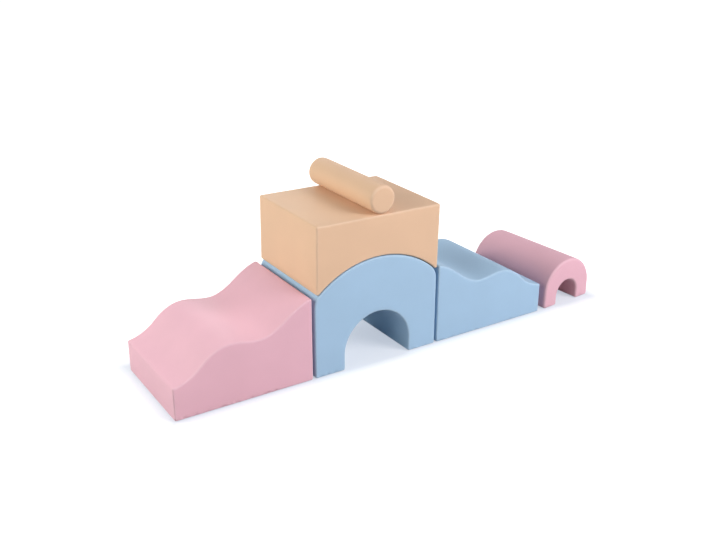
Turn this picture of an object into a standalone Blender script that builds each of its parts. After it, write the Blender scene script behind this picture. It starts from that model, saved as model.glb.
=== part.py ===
"""Soft play foam climber: six covered foam blocks set in a row. Metres, +Z up.

A wave ramp leads up to each side of a tunnel arch. A bridge cap sits on the arch, a roll lies on the cap,
and a small tunnel arch stands past the right-hand ramp. Each block is a foam core in a sewn cover, with a
non-slip panel in the cover's underside and a zipper in a wall that the front doesn't show.
X runs along the row and Y to the back. The origin is on the floor, at the middle of the whole row.
"""

import math
from collections import namedtuple

import bmesh
import bpy
from mathutils import Vector
from mathutils.geometry import interpolate_bezier

# The ramps, the arch and the cap share one depth, front to back
DEPTH = 0.400

# Wave ramps
RAMP_LENGTH = 0.500
RAMP_LOW_END = 0.118
RAMP_HIGH_END = 0.303
# Along the ramp as shares of its length, height as shares of its rise, slope as shares of its mean slope
WAVE_SHARES = (
    (0.00, 0.00, 0.40),
    (0.20, 0.28, 2.70),
    (0.41, 0.55, 0.00),
    (0.61, 0.48, 0.00),
    (0.80, 0.71, 2.10),
    (1.00, 1.00, 0.35),
)
WAVE_STEPS = 5  # facets between two keys of the wave

# Tunnel arch
ARCH_LENGTH = 0.500
ARCH_HEIGHT = 0.393
ARCH_WALL_HEIGHT = 0.288  # where the upright walls would meet the crown
ARCH_SHOULDER_RADIUS = 0.070
TUNNEL_WIDTH = 0.264
TUNNEL_HEIGHT = 0.190

# Bridge cap, whose saddle follows the arch's crown
CAP_LENGTH = 0.495
CAP_CROWN_FOAM = 0.148  # height of the cap over the arch's crown
CAP_TURN = math.radians(1.0)  # how far the cap has slipped round the crown, to the right

# Roll, lying across the cap
ROLL_DIAMETER = 0.100
ROLL_LENGTH = 0.414
ROLL_OFFSET = 0.007  # to the right of the cap's middle
ROLL_SETBACK = 0.006  # behind the cap's middle
ROLL_TURN = math.radians(0.1)
ROLL_EDGE_RADIUS = 0.0120  # the roll's ends are rounder than the blocks' rims

# Small tunnel arch
SMALL_ARCH_LENGTH = 0.2505
SMALL_ARCH_DEPTH = 0.418
SMALL_ARCH_WALL_HEIGHT = 0.060  # where the upright walls meet the half round crown
SMALL_TUNNEL_WIDTH = 0.111
SMALL_TUNNEL_HEIGHT = 0.095
SMALL_ARCH_TURN = math.radians(4.0)

# Places in the row
LEFT_GAP = 0.009  # pink ramp to arch
RIGHT_GAP = 0.006  # arch to blue ramp
CAP_GAP = 0.002  # at least this lies between a ramp and the cap, where the cap overhangs the arch
SMALL_ARCH_GAP = 0.002  # along the row, from the blue ramp to the turned small arch
SMALL_ARCH_ADVANCE = 0.001  # the small arch's near corner stands this far in front of the row

# Covers, panels and fits
COVER_THICKNESS = 0.0010
EDGE_RADIUS = 0.0060  # round the front and back of every block but the roll
CORNER_EASE = 0.0010  # corners of the outline are rounder than the rims by this
PANEL_PROUD = 0.0005  # the non-slip panel stands out of its cover by this
CLEARANCE = 0.0003
CUT_OVERRUN = 0.0050

# Zippers
ZIPPER_END_MARGIN = 0.050
ZIPPER_HEIGHT = 0.0225  # above the fillet at the foot of its wall
TAPE_WIDTH = 0.024
ROLL_TAPE_WIDTH = 0.016
TAPE_THICKNESS = 0.0008
TAPE_END = 0.008  # tape past the slot
CHAIN_WIDTH = 0.0046
CHAIN_PROUD = 0.0006  # the chain stands out of the wall by this
STOP_LENGTH = 0.0030
STOP_WIDTH = 0.0066
SLOT_MARGIN = 0.0005  # from the slider or a stop to the slot's side
SLIDER_LENGTH = 0.0110
SLIDER_WIDTH = 0.0074
SLIDER_PLATE = 0.0010
SLIDER_CORNER_RADIUS = 0.0016
SLIDER_EAR_LENGTH = 0.0070
SLIDER_EAR_WIDTH = 0.0022
SLIDER_EAR_HEIGHT = 0.0018
SLIDER_EYE_LENGTH = 0.0036
SLIDER_EYE_HEIGHT = 0.0008

# Facets
FACET_DEPTH = 0.0006  # a chord may cut this far into its arc
MATED_FACET_DEPTH = 0.0001  # the same on the crown and the saddle, which lie together
MOST_FACET_TURN = math.radians(30)
SHARP_TURN = math.radians(35)  # a turn past this is an edge, and less is a facet of a curve
RIM_STEPS = 3

# Sizes that follow from those above
SKIN = COVER_THICKNESS + CLEARANCE  # from a cover's outside to its foam
CORNER_RADIUS = EDGE_RADIUS + CORNER_EASE
ARCH_RISE = ARCH_HEIGHT - ARCH_WALL_HEIGHT
CROWN_RADIUS = ((ARCH_LENGTH / 2) ** 2 + ARCH_RISE**2) / (2 * ARCH_RISE)
CROWN_CENTRE = ARCH_HEIGHT - CROWN_RADIUS
SADDLE_RADIUS = CROWN_RADIUS + CLEARANCE + PANEL_PROUD
CAP_TOP = CROWN_RADIUS + CAP_CROWN_FOAM  # above the crown's centre
FLOOR_GAP = PANEL_PROUD  # from the floor to a cover's underside
WALL_FOOT = FLOOR_GAP + CORNER_RADIUS  # from the floor to the straight part of a wall
SMALL_ARCH_HEIGHT = SMALL_ARCH_WALL_HEIGHT + SMALL_ARCH_LENGTH / 2
SLOT_WIDTH = max(SLIDER_WIDTH, STOP_WIDTH) + 2 * SLOT_MARGIN
SLOT_CORNER_RADIUS = (SLOT_WIDTH - STOP_WIDTH) / 2
SLIDER_TOP = CHAIN_PROUD + CLEARANCE + SLIDER_PLATE  # the back of a slider, above its wall
SLIDER_REACH = SLIDER_TOP + SLIDER_EAR_HEIGHT

# Colours
PINK = (0.80, 0.50, 0.57)
BLUE = (0.42, 0.60, 0.78)
PEACH = (0.84, 0.60, 0.42)
FOAM_WHITE = (0.90, 0.88, 0.80)
PANEL_GREY = (0.30, 0.31, 0.33)
ZINC = (0.62, 0.62, 0.63)
LEATHER_ROUGHNESS = 0.5
FABRIC_ROUGHNESS = 0.9
ZINC_ROUGHNESS = 0.35

# A corner of an outline in x and z: its fillet's radius, and whether the side after it is the block's base
Corner = namedtuple("Corner", "x z radius base", defaults=(0.0, False))
Side = namedtuple("Side", "start base")
Zip = namedtuple("Zip", "length width depth place turn")


def clear_scene():
    for obj in list(bpy.data.objects):
        bpy.data.objects.remove(obj, do_unlink=True)


def material(name, colour, roughness, metallic=0.0):
    made = bpy.data.materials.new(name)
    made.use_nodes = True
    shader = made.node_tree.nodes["Principled BSDF"]
    shader.inputs["Base Color"].default_value = (*colour, 1.0)
    shader.inputs["Roughness"].default_value = roughness
    shader.inputs["Metallic"].default_value = metallic
    return made


def frame(name, place=(0, 0, 0), turn=(0, 0, 0), parent=None):
    """An empty that carries pieces at a place and turn of its own."""
    made = bpy.data.objects.new(name, None)
    made.location = place
    made.rotation_euler = turn
    made.parent = parent
    bpy.context.collection.objects.link(made)
    return made


def solid(name, bm, parent, finish=None):
    """An object of this mesh, or a hidden cutter if it has no finish."""
    mesh = bpy.data.meshes.new(name)
    bm.to_mesh(mesh)
    bm.free()
    made = bpy.data.objects.new(name, mesh)
    made.parent = parent
    bpy.context.collection.objects.link(made)
    if finish:
        mesh.materials.append(finish)
        mesh.polygons.foreach_set("material_index", [0] * len(mesh.polygons))
        mesh.shade_smooth()
        mesh.set_sharp_from_angle(angle=SHARP_TURN)
    else:
        made.hide_render = True
        made.display_type = "WIRE"
    return made


def combine(target, operand, operation):
    boolean = target.modifiers.new(operation.title(), "BOOLEAN")
    boolean.operation = operation
    boolean.object = operand


def arc(centre, radius, start, end, depth=FACET_DEPTH):
    """Points along an arc, from angle start to angle end, as corners with no fillet. One is at its middle."""
    step = min(2 * math.acos(1 - depth / radius), MOST_FACET_TURN)
    steps = 2 * math.ceil(abs(end - start) / (2 * step))
    angles = [start + (end - start) * i / max(steps, 1) for i in range(steps + 1)]
    return [Corner(centre[0] + radius * math.cos(a), centre[1] + radius * math.sin(a)) for a in angles]


def crown(half_length, radius, top, shoulder, depth=FACET_DEPTH):
    """Over the top of an arch from its right wall to its left: a shoulder, the crown and a shoulder."""
    centre = top - radius
    meet = math.acos(min((half_length - shoulder) / (radius - shoulder), 1))
    inner = half_length - shoulder
    height = centre + (radius - shoulder) * math.sin(meet)
    right = arc((inner, height), shoulder, 0, meet)
    middle = arc((0, centre), radius, meet, math.pi - meet, depth)
    left = arc((-inner, height), shoulder, math.pi - meet, math.pi)
    return right[:-1] + middle + left[1:]


def filleted(corner, before, after):
    """The points that take a corner's place on the outline."""
    here = Vector((corner.x, corner.z))
    if not corner.radius:
        return [here]
    back = (Vector((before.x, before.z)) - here).normalized()
    on = (Vector((after.x, after.z)) - here).normalized()
    half = back.angle(on) / 2
    centre = here + (back + on).normalized() * corner.radius / math.sin(half)
    start = here + back * corner.radius / math.tan(half) - centre
    turn = math.pi - 2 * half
    steps = max(math.ceil(turn / MOST_FACET_TURN), 1)
    side = math.copysign(1, on.cross(back))
    points = []
    for i in range(steps + 1):
        angle = side * turn * i / steps
        points.append(centre + Vector((
            start.x * math.cos(angle) - start.y * math.sin(angle),
            start.x * math.sin(angle) + start.y * math.cos(angle),
        )))
    return points


def outline(corners):
    """The sides of a closed outline, anticlockwise from the front, each with its start and base mark."""
    sides = []
    for i, corner in enumerate(corners):
        points = filleted(corner, corners[i - 1], corners[(i + 1) % len(corners)])
        sides += [Side(point, False) for point in points[:-1]]
        sides.append(Side(points[-1], corner.base))
    return sides


def inset(sides, distance):
    """The outline with every side moved inwards by this distance."""
    moved = []
    for i, side in enumerate(sides):
        before = (side.start - sides[i - 1].start).normalized()
        after = (sides[(i + 1) % len(sides)].start - side.start).normalized()
        inwards = Vector((-before.y, before.x)) + Vector((-after.y, after.x))
        reach = 2 * distance / inwards.length_squared
        moved.append(Side(side.start + inwards * reach, side.base))
    return moved


def prism(sides, depth, rim=0.0, bm=None):
    """The outline drawn out along Y about its middle, with rounded rims. Base faces have material 1."""
    bm = bm or bmesh.new()
    front = []
    for step in range(RIM_STEPS if rim else 0):
        angle = math.pi / 2 * step / RIM_STEPS
        front.append((inset(sides, rim * (1 - math.sin(angle))), rim * (1 - math.cos(angle)) - depth / 2))
    front.append((sides, rim - depth / 2))
    back = [(ring, -y) for ring, y in reversed(front)]
    loops = [[bm.verts.new((side.start.x, y, side.start.y)) for side in ring] for ring, y in front + back]
    bm.faces.new(loops[0])
    bm.faces.new(reversed(loops[-1]))
    for number, (near, far) in enumerate(zip(loops, loops[1:]), 1):
        for i, side in enumerate(sides):
            j = (i + 1) % len(sides)
            wall = bm.faces.new((near[j], near[i], far[i], far[j]))
            wall.material_index = int(side.base and number == len(front))
    return bm


def feet(bm):
    """The base faces in groups that hold together, one for each foot, from left to right."""
    left = {face for face in bm.faces if face.material_index == 1}
    groups = []
    while left:
        reached = [left.pop()]
        for face in reached:
            near = {other for edge in face.edges for other in edge.link_faces} & left
            left -= near
            reached += near
        groups.append(reached)
    return sorted(groups, key=lambda group: min(face.calc_center_median().x for face in group))


def cover(name, sides, depth, rim, parent, finish):
    """A sewn cover: a thin shell round the whole outline, open at its base."""
    bm = prism(sides, depth, rim)
    outside = set(bm.faces)
    prism(inset(sides, COVER_THICKNESS), depth - 2 * COVER_THICKNESS, rim - COVER_THICKNESS, bm)
    inside = [face for face in bm.faces if face not in outside]
    bmesh.ops.reverse_faces(bm, faces=inside)
    found = feet(bm)
    for first, second in zip(found[::2], found[1::2]):
        base = set(first + second)
        lips = [edge for face in base for edge in face.edges if not base.issuperset(edge.link_faces)]
        bmesh.ops.delete(bm, geom=list(base), context="FACES")
        bmesh.ops.bridge_loops(bm, edges=lips)
    return solid(name, bm, parent, finish)


def base_panels(names, sides, depth, rim, parent, finish):
    """The non-slip panels that fill a cover's open base, one for each foot."""
    for index, name in enumerate(names):
        bm = prism(sides, depth, rim)
        foot = feet(bm)[index]
        others = [face for face in bm.faces if face not in foot]
        bmesh.ops.delete(bm, geom=others, context="FACES")
        ring = bmesh.ops.inset_region(
            bm, faces=bm.faces, thickness=CLEARANCE, use_boundary=True, use_even_offset=True)
        bmesh.ops.delete(bm, geom=ring["faces"], context="FACES")
        panel = solid(name, bm, parent, finish)
        sheet = panel.modifiers.new("Sheet", "SOLIDIFY")
        sheet.thickness = COVER_THICKNESS + PANEL_PROUD
        sheet.offset = (PANEL_PROUD - COVER_THICKNESS) / sheet.thickness
        sheet.use_even_offset = True


def foam_core(name, sides, depth, rim, parent, finish):
    """The foam block, which fills its cover up to a small clearance."""
    bm = prism(inset(sides, SKIN), depth - 2 * SKIN, rim - SKIN)
    return solid(name, bm, parent, finish)


def bar(length, height, near, far, radius=0.0):
    """A straight bar along X: its middle at z = 0, from y = near to y = far, with rounded ends if asked."""
    x, z = length / 2, height / 2
    sides = outline([
        Corner(-x, -z, radius), Corner(x, -z, radius), Corner(x, z, radius), Corner(-x, z, radius),
    ])
    bm = prism(sides, far - near)
    bmesh.ops.translate(bm, vec=(0, (near + far) / 2, 0), verts=bm.verts)
    return bm


def chain_outline(length):
    """A zipper chain seen from outside: a narrow run of teeth with a wider stop at each end."""
    x, z = length / 2, CHAIN_WIDTH / 2
    stop_x, stop_z = x - STOP_LENGTH, STOP_WIDTH / 2
    right = [
        Corner(stop_x, -z), Corner(stop_x, -stop_z), Corner(x, -stop_z),
        Corner(x, stop_z), Corner(stop_x, stop_z), Corner(stop_x, z),
    ]
    return outline(right + [Corner(-corner.x, -corner.z) for corner in right])


def eye_outline():
    """The eye on a zipper slider's back, a low arch."""
    x, opening = SLIDER_EAR_LENGTH / 2, SLIDER_EYE_LENGTH / 2
    return outline([
        Corner(-x, -CLEARANCE), Corner(-opening, -CLEARANCE),
        Corner(-opening, SLIDER_EYE_HEIGHT), Corner(opening, SLIDER_EYE_HEIGHT),
        Corner(opening, -CLEARANCE), Corner(x, -CLEARANCE),
        Corner(x, SLIDER_EAR_HEIGHT, SLIDER_EYE_HEIGHT), Corner(-x, SLIDER_EAR_HEIGHT, SLIDER_EYE_HEIGHT),
    ])


def slider_rest(length):
    """From the middle of a zipper of this length to its slider, which rests against the stop at +X."""
    return length / 2 - CLEARANCE - STOP_LENGTH - CLEARANCE - SLIDER_LENGTH / 2


def add_zipper(block, zipper, cover_shell, core, parent, finishes):
    """A tape behind a slot in the cover, its chain in the slot, and a slider on the chain.

    The zipper's own frame has X along it, y = 0 on the cover's outside and +Y outwards."""
    home = frame(block + "_zipper_frame", zipper.place, (0, 0, zipper.turn), parent)
    tape_face = -zipper.depth - CLEARANCE
    tape_back = tape_face - TAPE_THICKNESS
    tape_length = zipper.length + 2 * TAPE_END
    chain_length = zipper.length - 2 * CLEARANCE

    slot = solid(block + "_slot_cutter", bar(
        zipper.length, SLOT_WIDTH, tape_face, CUT_OVERRUN, SLOT_CORNER_RADIUS), home)
    combine(cover_shell, slot, "DIFFERENCE")
    recess = solid(block + "_recess_cutter", bar(
        tape_length + 2 * CLEARANCE, zipper.width + 2 * CLEARANCE, tape_back - CLEARANCE,
        CUT_OVERRUN), home)
    combine(core, recess, "DIFFERENCE")

    tape_bm = bar(tape_length, zipper.width, tape_back, tape_face)
    tape = solid(block + "_zipper", tape_bm, home, finishes["tape"])
    root = (tape_face + tape_back) / 2
    chain_bm = prism(chain_outline(chain_length), CHAIN_PROUD - root)
    bmesh.ops.translate(chain_bm, vec=(0, (CHAIN_PROUD + root) / 2, 0), verts=chain_bm.verts)
    combine(tape, solid(block + "_chain", chain_bm, home), "UNION")

    seat = frame(block + "_slider_frame", (slider_rest(zipper.length), 0, 0), (0, 0, 0), home)
    slider = solid(block + "_zipper_slider", bar(
        SLIDER_LENGTH, SLIDER_WIDTH, tape_face + CLEARANCE, SLIDER_TOP, SLIDER_CORNER_RADIUS),
        seat, finishes["slider"])
    channel = solid(block + "_channel_cutter", bar(
        SLIDER_LENGTH + 2 * CUT_OVERRUN, CHAIN_WIDTH + 2 * CLEARANCE, tape_face - CUT_OVERRUN,
        SLIDER_TOP - SLIDER_PLATE), seat)
    combine(slider, channel, "DIFFERENCE")
    eye = solid(block + "_eye", prism(eye_outline(), SLIDER_EAR_WIDTH), seat)
    eye.location = (0, SLIDER_TOP, 0)
    eye.rotation_euler = (-math.pi / 2, 0, 0)
    combine(slider, eye, "UNION")


def build_block(name, parent, sides, depth, zipper, finishes, panels=(), rim=EDGE_RADIUS):
    """One block of the set, with its cover, foam, base panels, zipper and slider."""
    shell = cover(name + "_cover", sides, depth, rim, parent, finishes["cover"])
    core = foam_core(name + "_foam", sides, depth, rim, parent, finishes["foam"])
    base_panels(panels, sides, depth, rim, parent, finishes["panel"])
    add_zipper(name, zipper, shell, core, parent, finishes)


def ramp_outline(rise_to):
    """A wave ramp that rises towards +X if rise_to is 1, or towards -X if it is -1."""
    half, rise = RAMP_LENGTH / 2, RAMP_HIGH_END - RAMP_LOW_END
    keys = [
        Vector((RAMP_LENGTH * along - half, RAMP_LOW_END + rise * up)) for along, up, _ in WAVE_SHARES
    ]
    slopes = [share * rise / RAMP_LENGTH for _, _, share in WAVE_SHARES]
    wave = [keys[0]]
    for i in range(len(keys) - 1):
        third = (keys[i + 1].x - keys[i].x) / 3
        first = keys[i] + Vector((third, third * slopes[i]))
        second = keys[i + 1] - Vector((third, third * slopes[i + 1]))
        wave += interpolate_bezier(keys[i], first, second, keys[i + 1], WAVE_STEPS + 1)[1:]
    corners = [
        Corner(-half, FLOOR_GAP, CORNER_RADIUS, True),
        Corner(half, FLOOR_GAP, CORNER_RADIUS),
        Corner(half, wave[-1].y, CORNER_RADIUS),
        *(Corner(point.x, point.y) for point in reversed(wave[1:-1])),
        Corner(-half, wave[0].y, CORNER_RADIUS),
    ]
    if rise_to < 0:
        flipped = [corner._replace(x=-corner.x, base=False) for corner in reversed(corners)]
        flipped[-2] = flipped[-2]._replace(base=True)
        corners = flipped
    return outline(corners)


def arch_outline(length, height, radius, shoulder, tunnel_width, tunnel_height, depth=FACET_DEPTH):
    """An arch with a round-topped tunnel: two feet, the tunnel between them and the crown over them."""
    half, opening = length / 2, tunnel_width / 2
    tunnel = arc((0, tunnel_height - opening), opening, math.pi, 0)
    return outline([
        Corner(-half, FLOOR_GAP, CORNER_RADIUS, True),
        Corner(-opening, FLOOR_GAP, CORNER_RADIUS),
        *tunnel,
        Corner(opening, FLOOR_GAP, CORNER_RADIUS, True),
        Corner(half, FLOOR_GAP, CORNER_RADIUS),
        *crown(half, radius, height, shoulder, depth),
    ])


def cap_tip():
    """From the crown's centre to that of the right tip's fillet, which meets the saddle and the wall."""
    x = CAP_LENGTH / 2 - CORNER_RADIUS
    return x, math.sqrt((SADDLE_RADIUS + CORNER_RADIUS) ** 2 - x**2)


def cap_outline():
    """The bridge cap about the crown's centre: a saddle between two pointed tips, and a flat top."""
    half = CAP_LENGTH / 2
    tip_x, tip_z = cap_tip()
    turn = math.atan2(tip_z, tip_x)
    saddle = arc((0, 0), SADDLE_RADIUS, math.pi - turn, turn, MATED_FACET_DEPTH)
    right = arc((tip_x, tip_z), CORNER_RADIUS, turn - math.pi, 0)
    left = arc((-tip_x, tip_z), CORNER_RADIUS, -math.pi, -turn)
    return outline([
        *left[:-1],
        *(corner._replace(base=True) for corner in saddle[:-1]),
        saddle[-1],
        *right[1:],
        Corner(half, CAP_TOP, CORNER_RADIUS),
        Corner(-half, CAP_TOP, CORNER_RADIUS),
    ])


def roll_outline():
    upper = arc((0, 0), ROLL_DIAMETER / 2, 0, math.pi)
    lower = arc((0, 0), ROLL_DIAMETER / 2, math.pi, 2 * math.pi)
    return outline(upper[:-1] + lower[:-1])


def rear_zip(length, depth):
    """A zipper along the foot of a block's rear wall."""
    place = (0, depth / 2, WALL_FOOT + ZIPPER_HEIGHT)
    return Zip(length - 2 * ZIPPER_END_MARGIN, TAPE_WIDTH, COVER_THICKNESS, place, 0)


def side_zip(x, depth, z=WALL_FOOT + ZIPPER_HEIGHT, width=TAPE_WIDTH, sunk=COVER_THICKNESS):
    """A zipper along an end wall at x, which faces away from the block's middle."""
    return Zip(depth - 2 * ZIPPER_END_MARGIN, width, sunk, (x, 0, z), -math.copysign(math.pi / 2, x))


def span(across, along, turn, radius=EDGE_RADIUS):
    """Half the room that a turned block with rounded upright edges takes along its first side."""
    return (across / 2 - radius) * math.cos(turn) + (along / 2 - radius) * abs(math.sin(turn)) + radius


def cap_reach(side, x, z):
    """How far a point of the cap, x and z from its frame, lies to one side of the arch's middle."""
    return x * math.cos(CAP_TURN) + side * z * math.sin(CAP_TURN)


def build():
    clear_scene()
    foam = material("foam", FOAM_WHITE, FABRIC_ROUGHNESS)
    panel = material("non_slip_fabric", PANEL_GREY, FABRIC_ROUGHNESS)
    zinc = material("slider_zinc", ZINC, ZINC_ROUGHNESS, 1.0)
    pink, blue, peach = (
        {
            "cover": material(name + "_leather", colour, LEATHER_ROUGHNESS),
            "tape": material(name + "_tape", colour, FABRIC_ROUGHNESS),
            "foam": foam,
            "panel": panel,
            "slider": zinc,
        }
        for name, colour in (("pink", PINK), ("blue", BLUE), ("peach", PEACH))
    )

    cap_half = CAP_LENGTH / 2
    cap_zip_z = cap_tip()[1] + ZIPPER_HEIGHT
    cap_left = max(cap_reach(-1, cap_half, cap_tip()[1]), cap_reach(-1, cap_half, CAP_TOP))
    cap_right = max(
        cap_reach(1, cap_half, CAP_TOP),
        cap_reach(1, cap_half + SLIDER_REACH, cap_zip_z + SLIDER_WIDTH / 2))
    pink_x = -max(ARCH_LENGTH / 2 + LEFT_GAP, cap_left + CAP_GAP) - RAMP_LENGTH / 2
    blue_x = max(ARCH_LENGTH / 2 + RIGHT_GAP, cap_right + CAP_GAP) + RAMP_LENGTH / 2
    small_width = span(SMALL_ARCH_LENGTH, SMALL_ARCH_DEPTH, SMALL_ARCH_TURN)
    small_depth = span(SMALL_ARCH_DEPTH, SMALL_ARCH_LENGTH, SMALL_ARCH_TURN)
    small_x = blue_x + RAMP_LENGTH / 2 + SMALL_ARCH_GAP + small_width
    small_y = small_depth - DEPTH / 2 - SMALL_ARCH_ADVANCE
    row_left = pink_x - RAMP_LENGTH / 2
    small_zip = side_zip(SMALL_ARCH_LENGTH / 2, SMALL_ARCH_DEPTH)
    slider_end = slider_rest(small_zip.length) + SLIDER_EAR_LENGTH / 2
    row_right = small_x + max(
        small_width, span(SMALL_ARCH_LENGTH + 2 * SLIDER_REACH, 2 * slider_end, SMALL_ARCH_TURN, 0))
    row_front = min(-DEPTH / 2, small_y - small_depth)
    row_back = max(DEPTH / 2, small_y + small_depth)
    row = frame("row", (-(row_left + row_right) / 2, -(row_front + row_back) / 2, 0))

    ramp_zip = rear_zip(RAMP_LENGTH, DEPTH)
    pink_frame = frame("pink_ramp_frame", (pink_x, 0, 0), parent=row)
    build_block("pink_ramp", pink_frame, ramp_outline(1), DEPTH, ramp_zip, pink, ["pink_ramp_base_panel"])
    blue_frame = frame("blue_ramp_frame", (blue_x, 0, 0), parent=row)
    build_block("blue_ramp", blue_frame, ramp_outline(-1), DEPTH, ramp_zip, blue, ["blue_ramp_base_panel"])

    arch_frame = frame("arch_frame", parent=row)
    arch_sides = arch_outline(
        ARCH_LENGTH, ARCH_HEIGHT, CROWN_RADIUS, ARCH_SHOULDER_RADIUS, TUNNEL_WIDTH, TUNNEL_HEIGHT,
        MATED_FACET_DEPTH)
    build_block(
        "arch", arch_frame, arch_sides, DEPTH, side_zip(-ARCH_LENGTH / 2, DEPTH), blue,
        ["arch_left_foot_panel", "arch_right_foot_panel"])

    cap_frame = frame("cap_frame", (0, 0, CROWN_CENTRE), (0, CAP_TURN, 0), arch_frame)
    cap_zip = side_zip(cap_half, DEPTH, cap_zip_z)
    build_block("cap", cap_frame, cap_outline(), DEPTH, cap_zip, peach, ["cap_saddle_panel"])

    roll_radius = ROLL_DIAMETER / 2
    roll_frame = frame(
        "roll_frame", (ROLL_OFFSET, ROLL_SETBACK, CAP_TOP + CLEARANCE + roll_radius), (0, 0, ROLL_TURN),
        cap_frame)
    inside = roll_radius - COVER_THICKNESS
    sunk = roll_radius - math.sqrt(inside**2 - (ROLL_TAPE_WIDTH / 2) ** 2) + FACET_DEPTH
    roll_zip = side_zip(roll_radius, ROLL_LENGTH, 0, ROLL_TAPE_WIDTH, sunk)
    build_block("roll", roll_frame, roll_outline(), ROLL_LENGTH, roll_zip, peach, rim=ROLL_EDGE_RADIUS)

    small_frame = frame("small_arch_frame", (small_x, small_y, 0), (0, 0, SMALL_ARCH_TURN), row)
    small_sides = arch_outline(
        SMALL_ARCH_LENGTH, SMALL_ARCH_HEIGHT, SMALL_ARCH_LENGTH / 2, CORNER_RADIUS,
        SMALL_TUNNEL_WIDTH, SMALL_TUNNEL_HEIGHT)
    build_block(
        "small_arch", small_frame, small_sides, SMALL_ARCH_DEPTH, small_zip, pink,
        ["small_arch_left_foot_panel", "small_arch_right_foot_panel"])


build()
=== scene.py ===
"""Looks of the soft play foam climber: covers, panels, zippers, foam, light and camera. Metres, +Z up.

Each cover is cut and sewn as the real one is: a front and a back panel and a band between them, with a seam
round each rim, a hem at each opening and a zipper in a wall that the camera doesn't see.
"""

import math
from collections import namedtuple

import bpy
import numpy as np
from mathutils import Matrix, Vector, noise
from mathutils.bvhtree import BVHTree
from mathutils.geometry import delaunay_2d_cdt, interpolate_bezier


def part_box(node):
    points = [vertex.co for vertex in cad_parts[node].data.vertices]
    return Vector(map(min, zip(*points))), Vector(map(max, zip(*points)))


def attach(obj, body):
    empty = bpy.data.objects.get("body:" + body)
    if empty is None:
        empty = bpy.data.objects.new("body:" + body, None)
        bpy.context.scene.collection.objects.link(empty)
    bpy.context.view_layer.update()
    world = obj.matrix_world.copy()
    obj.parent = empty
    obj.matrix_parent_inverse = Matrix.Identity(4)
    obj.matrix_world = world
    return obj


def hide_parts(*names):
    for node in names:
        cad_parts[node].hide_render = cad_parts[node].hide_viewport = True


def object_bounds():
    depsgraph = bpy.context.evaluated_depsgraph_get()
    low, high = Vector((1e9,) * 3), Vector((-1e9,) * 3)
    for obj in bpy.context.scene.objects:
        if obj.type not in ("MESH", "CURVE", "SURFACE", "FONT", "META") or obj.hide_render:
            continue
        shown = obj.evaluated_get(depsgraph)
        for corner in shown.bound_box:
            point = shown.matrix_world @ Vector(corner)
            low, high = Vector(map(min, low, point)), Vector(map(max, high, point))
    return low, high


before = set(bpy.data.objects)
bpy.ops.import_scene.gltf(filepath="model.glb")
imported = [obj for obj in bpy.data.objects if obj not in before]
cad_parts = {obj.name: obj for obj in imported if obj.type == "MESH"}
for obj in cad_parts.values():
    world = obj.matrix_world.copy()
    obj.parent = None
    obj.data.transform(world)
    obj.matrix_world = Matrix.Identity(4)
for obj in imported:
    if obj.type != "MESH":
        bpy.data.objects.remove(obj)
CAD_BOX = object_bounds()


def box_size(node):
    low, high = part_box(node)
    return high - low


def box_middle(node):
    low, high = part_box(node)
    return (low + high) / 2


# Sizes read from the frame
RAMP_LENGTH = box_size("pink_ramp_cover").x
DEPTH = box_size("arch_cover").y
ARCH_LENGTH = box_size("arch_cover").x
ARCH_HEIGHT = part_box("arch_cover")[1].z
SMALL_ARCH_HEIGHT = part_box("small_arch_cover")[1].z

# Wave ramps
RAMP_LOW_END = 0.118
RAMP_HIGH_END = 0.303
# Along the ramp as shares of its length, height as shares of its rise, slope as shares of its mean slope
WAVE_SHARES = (
    (0.00, 0.00, 0.40),
    (0.20, 0.28, 2.70),
    (0.41, 0.55, 0.00),
    (0.61, 0.48, 0.00),
    (0.80, 0.71, 2.10),
    (1.00, 1.00, 0.35),
)
WAVE_STEPS = 16

# Tunnel arches
ARCH_WALL_HEIGHT = 0.288
ARCH_SHOULDER_RADIUS = 0.070
TUNNEL_WIDTH = 0.264
TUNNEL_HEIGHT = 0.190
SMALL_ARCH_LENGTH = 0.2505
SMALL_ARCH_DEPTH = 0.418
SMALL_TUNNEL_WIDTH = 0.111
SMALL_TUNNEL_HEIGHT = 0.095
SMALL_ARCH_TURN = math.radians(4.0)
SMALL_ARCH_RIM_RADIUS = 0.0100
SMALL_ARCH_CORNER_RADIUS = 0.0110

# Bridge cap and roll
CAP_LENGTH = 0.495
CAP_CROWN_FOAM = 0.148
CAP_TURN = math.radians(1.0)
ROLL_DIAMETER = 0.100
ROLL_LENGTH = 0.414
ROLL_OFFSET = 0.007
ROLL_SETBACK = 0.006
ROLL_TURN = math.radians(0.1)
ROLL_RIM_RADIUS = 0.0120

# Sewing
RIM_RADIUS = 0.0060
CORNER_RADIUS = 0.0070
LEATHER = 0.0009  # thick
HEM_RADIUS = 0.0009  # the leather rolls in by this at an opening
SEAM_PULL = 0.0002  # a seam round a rim counts as this much further away, so it rolls in less
PANEL_PROUD = 0.0005
CLEARANCE = 0.0003
DRAW_IN = 0.0010  # seams lie this far inside the full faces
DRAW_REACH = 0.018
SAG = 0.0006  # slow waves of the leather
SAG_LENGTH = 0.110
PUCKER = 0.0005  # short waves beside a seam
PUCKER_LENGTH = 0.017
PUCKER_REACH = 0.009

# Mesh
MOST_TURN = math.radians(12)
ARC_SPACING = 0.007
SIDE_SPACING = 0.009
RIM_SPACING = 0.0018
BAND_SPACING = 0.010
PANEL_SPACING = 0.009
HEM_STEPS = (0.0, 0.00008, 0.00027, 0.00056, 0.0009)  # from a seam outwards
RIM_STEPS = (0.0021, 0.0033)
BORDER_SHARE = 0.6  # of the panel spacing, with no point of a panel's own nearer to its border
HOLE_SHARE = 0.4  # of the panel spacing, the same at the rings round a hole
LEAST_POWER = 3.0
SAME_PLACE = 0.00004  # places nearer than this count as one

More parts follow.
